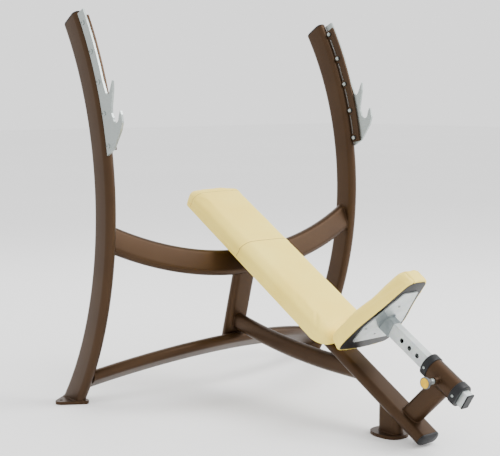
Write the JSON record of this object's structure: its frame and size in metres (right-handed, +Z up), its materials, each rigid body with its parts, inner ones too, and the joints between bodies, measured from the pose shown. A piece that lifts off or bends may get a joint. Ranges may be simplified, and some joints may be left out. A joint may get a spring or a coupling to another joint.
{
  "type": "adjustable weight bench",
  "caption": "Incline press bench: padded back on a sloping spine, saddle seat sliding on a pinned post, and curved uprights with steel bar hooks joined by bowed crossmembers.",
  "frame": {"origin": "on the floor under the middle of the bench's bounding box", "axes": "+Z up; +Y from the seat end towards the uprights; +X across the bench, so the pull knob is on the -X side; left means -X"},
  "size_m": [1.36, 1.47, 1.4517],
  "materials": {
    "frame_paint": "bronze-brown metallic powder coat, satin",
    "steel": "bright plated steel, satin",
    "zinc": "galvanised steel, fine spangle",
    "bracket_steel": "bare welded steel, matte",
    "black_plastic": "moulded black plastic, satin",
    "grey_plastic": "moulded grey plastic, satin",
    "yellow_plastic": "moulded yellow plastic",
    "spring_steel": "bright spring wire",
    "cushion": "cream vinyl upholstery, fine grain",
    "board": "black-covered plywood"
  },
  "bodies": {
    "frame": {"upright_left": "frame_paint", "upright_cap_left": "black_plastic", "foot_plate_left": "frame_paint", "hook_flange_left": "frame_paint", "hook_plate_left": "steel", "hook_bolt_left_1": "steel", "hook_bolt_left_2": "steel", "hook_bolt_left_3": "steel", "hook_bolt_left_4": "steel", "hook_bolt_left_5": "steel", "upright_right": "frame_paint", "upright_cap_right": "black_plastic", "foot_plate_right": "frame_paint", "hook_flange_right": "frame_paint", "hook_plate_right": "steel", "hook_bolt_right_1": "steel", "hook_bolt_right_2": "steel", "hook_bolt_right_3": "steel", "hook_bolt_right_4": "steel", "hook_bolt_right_5": "steel", "crossbar": "frame_paint", "lower_cross_member": "frame_paint", "rear_post": "frame_paint", "brace_strut": "frame_paint", "spine": "frame_paint", "front_leg": "frame_paint", "foot_plate_front": "frame_paint", "sleeve_support": "frame_paint", "seat_sleeve": "frame_paint", "pin_boss": "frame_paint", "spine_cap_front": "black_plastic", "spine_cap_rear": "black_plastic", "sleeve_collar_upper": "black_plastic", "sleeve_collar_lower": "black_plastic", "collar_screw_upper": "steel", "collar_screw_lower": "steel", "pin_barrel": "steel", "pad_strap_lower": "bracket_steel", "pad_strap_upper": "bracket_steel", "back_pad": "cushion", "back_pad_board": "board", "pin_spring": "spring_steel"},
    "seat": {"seat_post": "zinc", "seat_post_plug": "black_plastic", "seat_bracket": "bracket_steel", "seat_plate": "zinc", "seat_shell": "black_plastic", "seat_pad": "cushion", "seat_screw_1": "steel", "seat_screw_2": "steel", "seat_screw_3": "steel"},
    "pull_pin": {"pull_pin": "steel", "pin_knob": "grey_plastic", "knob_disc": "yellow_plastic"}
  },
  "joints": [
    {"name": "seat_slide", "type": "slide", "parent": "frame", "child": "seat", "axis": [0, -0.866, -0.5], "range_m": [0, 0.156]},
    {"name": "pin_pull", "type": "slide", "parent": "frame", "child": "pull_pin", "axis": [-1, 0, 0], "range_m": [0, 0.011], "stiffness_N_per_m": 600, "springref_m": -0.008, "deforming": ["pin_spring"]}
  ]
}
